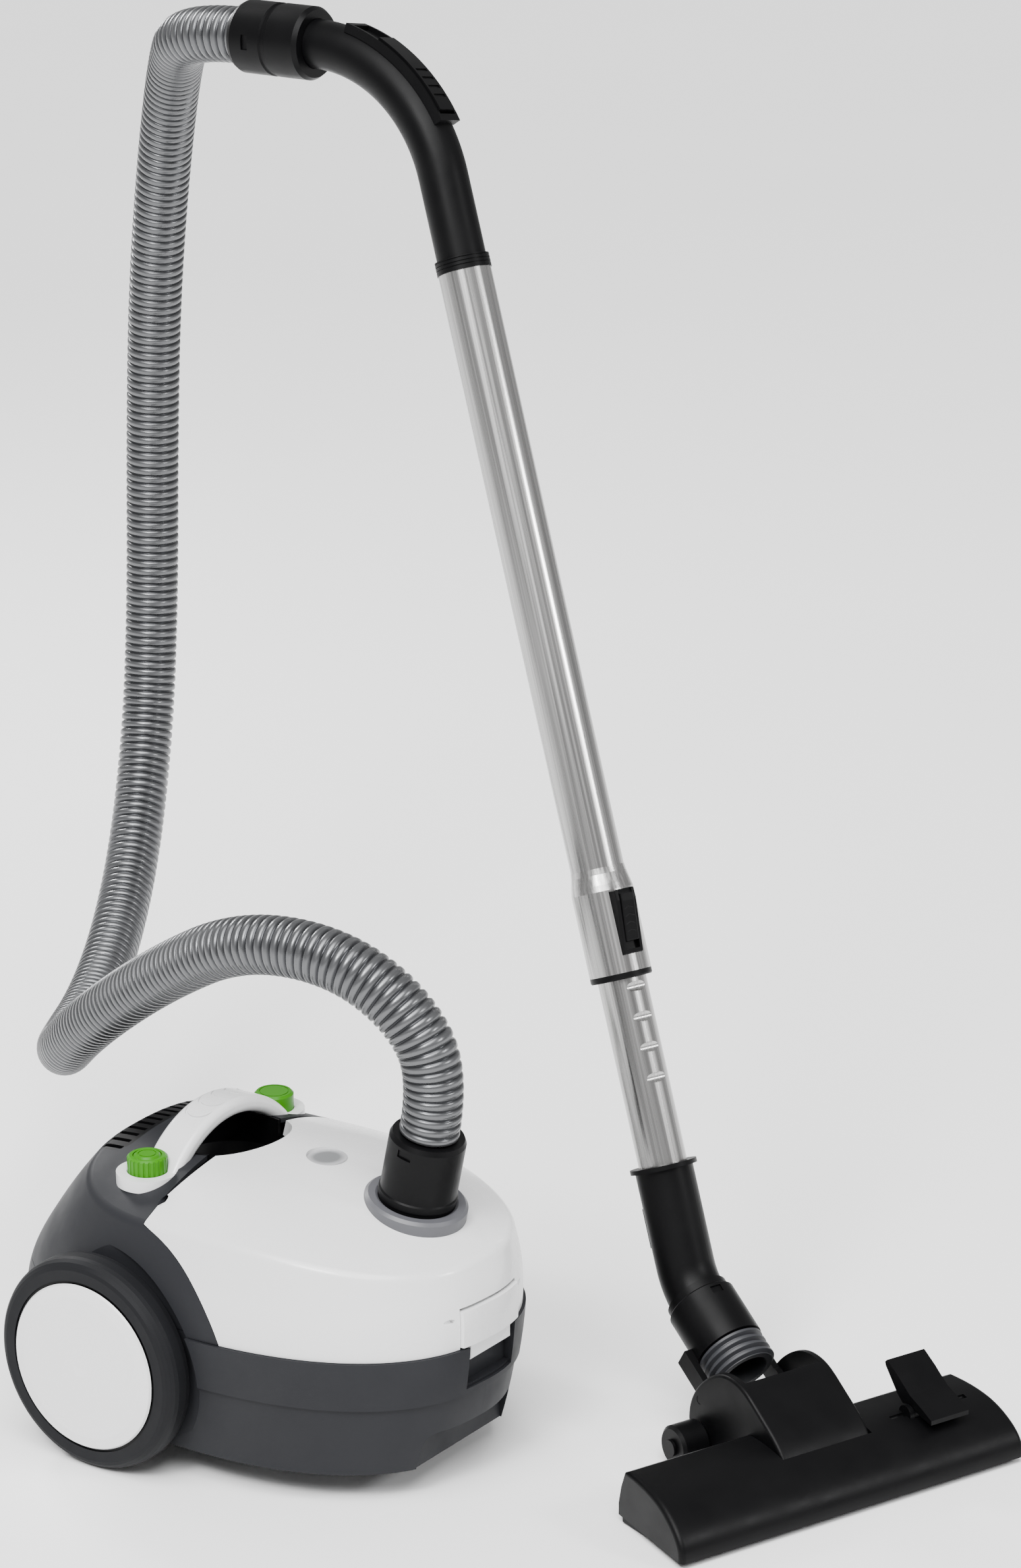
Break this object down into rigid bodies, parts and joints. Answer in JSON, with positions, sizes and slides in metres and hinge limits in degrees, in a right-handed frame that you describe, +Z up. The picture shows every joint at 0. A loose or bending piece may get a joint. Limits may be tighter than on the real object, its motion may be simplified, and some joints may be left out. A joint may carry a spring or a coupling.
{
  "type": "canister vacuum cleaner",
  "caption": "Wheeled canister vacuum cleaner with opening lid, corrugated hose, bent grip, telescopic metal wand and a tilting floor nozzle on rollers.",
  "frame": {"origin": "bottom centre of the whole object without its hose, on the floor", "axes": "+X canister forward, +Y canister left, +Z up"},
  "size_m": [0.8482, 0.5302, 0.8639],
  "materials": {
    "white": "satin gloss",
    "graphite": "fine grain",
    "black": "fine grain",
    "grey": "satin",
    "window": "gloss",
    "green": "gloss",
    "steel": "brushed lengthwise",
    "hose": "metallic satin",
    "rubber": "matt",
    "paper": "matt",
    "zinc": "zinc plated",
    "machine": "satin",
    "reel": "satin",
    "board": "satin"
  },
  "bodies": {
    "chassis": {"lower_tub": "graphite", "tub_screws": "zinc", "bumper_band": "graphite", "rear_housing": "graphite", "exhaust_grille": "black", "exhaust_filter": "paper", "handle_well": "black", "lid_seal": "rubber", "carry_handle": "white", "power_switch": "grey", "power_spring": "zinc", "rewind_spring": "zinc", "motor": "machine", "motor_filter": "grey", "dust_bag": "paper", "bag_holder": "black", "cord_outlet": "rubber", "control_board": "board", "wheel_axles": "zinc"},
    "lid": {"dust_lid": "white", "inlet_ring": "grey", "indicator_window": "window"},
    "latch": {"lid_latch": "white"},
    "power_dial": {"power_dial": "green"},
    "power_button": {"power_button": "green"},
    "rewind_button": {"rewind_button": "green"},
    "reel": {"cord_reel": "reel"},
    "wheel_right": {"tyre_right": "rubber", "hub_right": "black", "cap_right": "white"},
    "wheel_left": {"tyre_left": "rubber", "hub_left": "black", "cap_left": "white"},
    "caster": {"caster_fork": "black"},
    "caster_wheel": {"caster_wheel": "rubber"},
    "hose": {"hose_cuff": "black", "suction_hose": "hose", "hose_collar": "black"},
    "wand_upper": {"grip_tube": "black", "outer_tube": "steel", "tube_sleeve": "steel", "tube_end_ring": "black", "lock_housing": "black"},
    "suction_slider": {"suction_slider": "grey"},
    "release": {"release_button": "black"},
    "wand_lower": {"inner_tube": "steel", "elbow": "black"},
    "neck": {"swivel_neck": "black", "neck_bellows": "rubber"},
    "hood": {"nozzle_hood": "black", "nozzle_duct": "rubber", "roller_axles": "zinc"},
    "roller_right": {"roller_right": "rubber"},
    "roller_left": {"roller_left": "rubber"},
    "nozzle": {"nozzle_body": "black", "sole_plate": "black", "sole_screws": "zinc", "lint_pads": "paper"},
    "brush": {"brush_strips": "paper"},
    "pedal": {"pedal": "black"}
  },
  "joints": [
    {"name": "lid_hinge", "type": "hinge", "parent": "chassis", "child": "lid", "pos_m": [-0.12649, -0.08021, 0.1735], "axis": [0, -1, 0], "range_deg": [0, 20]},
    {"name": "latch_hinge", "type": "hinge", "parent": "lid", "child": "latch", "pos_m": [0.06051, -0.08021, 0.122], "axis": [0, -1, 0], "range_deg": [0, 16], "stiffness_Nm_per_rad": 0.05, "springref_deg": -8.59},
    {"name": "power_dial_turn", "type": "hinge", "parent": "chassis", "child": "power_dial", "pos_m": [-0.15449, -0.14521, 0.18], "axis": [0, 0, 1], "range_deg": [-135, 135]},
    {"name": "power_button_press", "type": "slide", "parent": "chassis", "child": "power_button", "axis": [0, 0, -1], "range_m": [0, 0.0025], "stiffness_N_per_m": 600, "springref_m": -0.001, "deforming": ["power_spring"]},
    {"name": "rewind_button_press", "type": "slide", "parent": "chassis", "child": "rewind_button", "axis": [0, 0, -1], "range_m": [0, 0.004], "stiffness_N_per_m": 600, "springref_m": -0.001, "deforming": ["rewind_spring"]},
    {"name": "reel_spin", "type": "hinge", "parent": "chassis", "child": "reel", "pos_m": [-0.16949, -0.02521, 0.084], "axis": [0, 1, 0], "continuous": true},
    {"name": "wheel_right_spin", "type": "hinge", "parent": "chassis", "child": "wheel_right", "pos_m": [-0.15449, -0.20021, 0.0705], "axis": [0, 1, 0], "continuous": true},
    {"name": "wheel_left_spin", "type": "hinge", "parent": "chassis", "child": "wheel_left", "pos_m": [-0.15449, 0.03979, 0.0705], "axis": [0, 1, 0], "continuous": true},
    {"name": "caster_swivel", "type": "hinge", "parent": "chassis", "child": "caster", "pos_m": [-0.00449, -0.08021, 0.04], "axis": [0, 0, 1], "continuous": true},
    {"name": "caster_wheel_spin", "type": "hinge", "parent": "caster", "child": "caster_wheel", "pos_m": [-0.01349, -0.08021, 0.017], "axis": [0, 1, 0], "continuous": true},
    {"name": "hose_cuff_swivel", "type": "hinge", "parent": "lid", "child": "hose", "pos_m": [0.00881, -0.08021, 0.179], "axis": [0.2079, 0, 0.9781], "range_deg": [-15, 20]},
    {"name": "grip_swivel", "type": "hinge", "parent": "hose", "child": "wand_upper", "pos_m": [-0.26745, 0.19201, 0.83949], "axis": [-1, 0, 0], "range_deg": [-15, 25]},
    {"name": "suction_slider_move", "type": "hinge", "parent": "wand_upper", "child": "suction_slider", "pos_m": [-0.26745, 0.174, 0.72186], "axis": [0, -0.9885, 0.1514], "range_deg": [0, 8]},
    {"name": "tube_release_slide", "type": "slide", "parent": "wand_upper", "child": "release", "axis": [0.3644, -0.141, -0.9205], "range_m": [0, 0.005], "stiffness_N_per_m": 300, "springref_m": -0.001},
    {"name": "tube_extend", "type": "slide", "parent": "wand_upper", "child": "wand_lower", "axis": [0.3644, -0.141, -0.9205], "range_m": [-0.12, 0.18]},
    {"name": "elbow_swivel", "type": "hinge", "parent": "wand_lower", "child": "neck", "pos_m": [0.12249, 0.07258, 0.081], "axis": [-0.7892, 0.3053, 0.5329], "range_deg": [-35, 35]},
    {"name": "neck_tilt", "type": "hinge", "parent": "neck", "child": "hood", "pos_m": [0.16595, 0.05576, 0.04], "axis": [0.3608, 0.9326, 0], "range_deg": [-30, 12]},
    {"name": "roller_right_spin", "type": "hinge", "parent": "hood", "child": "roller_right", "pos_m": [0.16829, 0.05486, 0.014], "axis": [0.3608, 0.9326, 0], "continuous": true},
    {"name": "roller_left_spin", "type": "hinge", "parent": "hood", "child": "roller_left", "pos_m": [0.16829, 0.05486, 0.014], "axis": [0.3608, 0.9326, 0], "continuous": true},
    {"name": "nozzle_tilt", "type": "hinge", "parent": "hood", "child": "nozzle", "pos_m": [0.22378, 0.03339, 0.02], "axis": [0.3608, 0.9326, 0], "range_deg": [-7, 7]},
    {"name": "pedal_rock", "type": "hinge", "parent": "nozzle", "child": "pedal", "pos_m": [0.2731, 0.10545, 0.036], "axis": [-0.3608, -0.9326, 0], "range_deg": [0, 14]},
    {"name": "brush_lower", "type": "slide", "parent": "nozzle", "child": "brush", "axis": [0, 0, -1], "range_m": [0, 0.00351]}
  ],
  "couplings": [
    {"joint": "brush_lower", "follows": "pedal_rock", "m_per_rad": 0.014324}
  ]
}
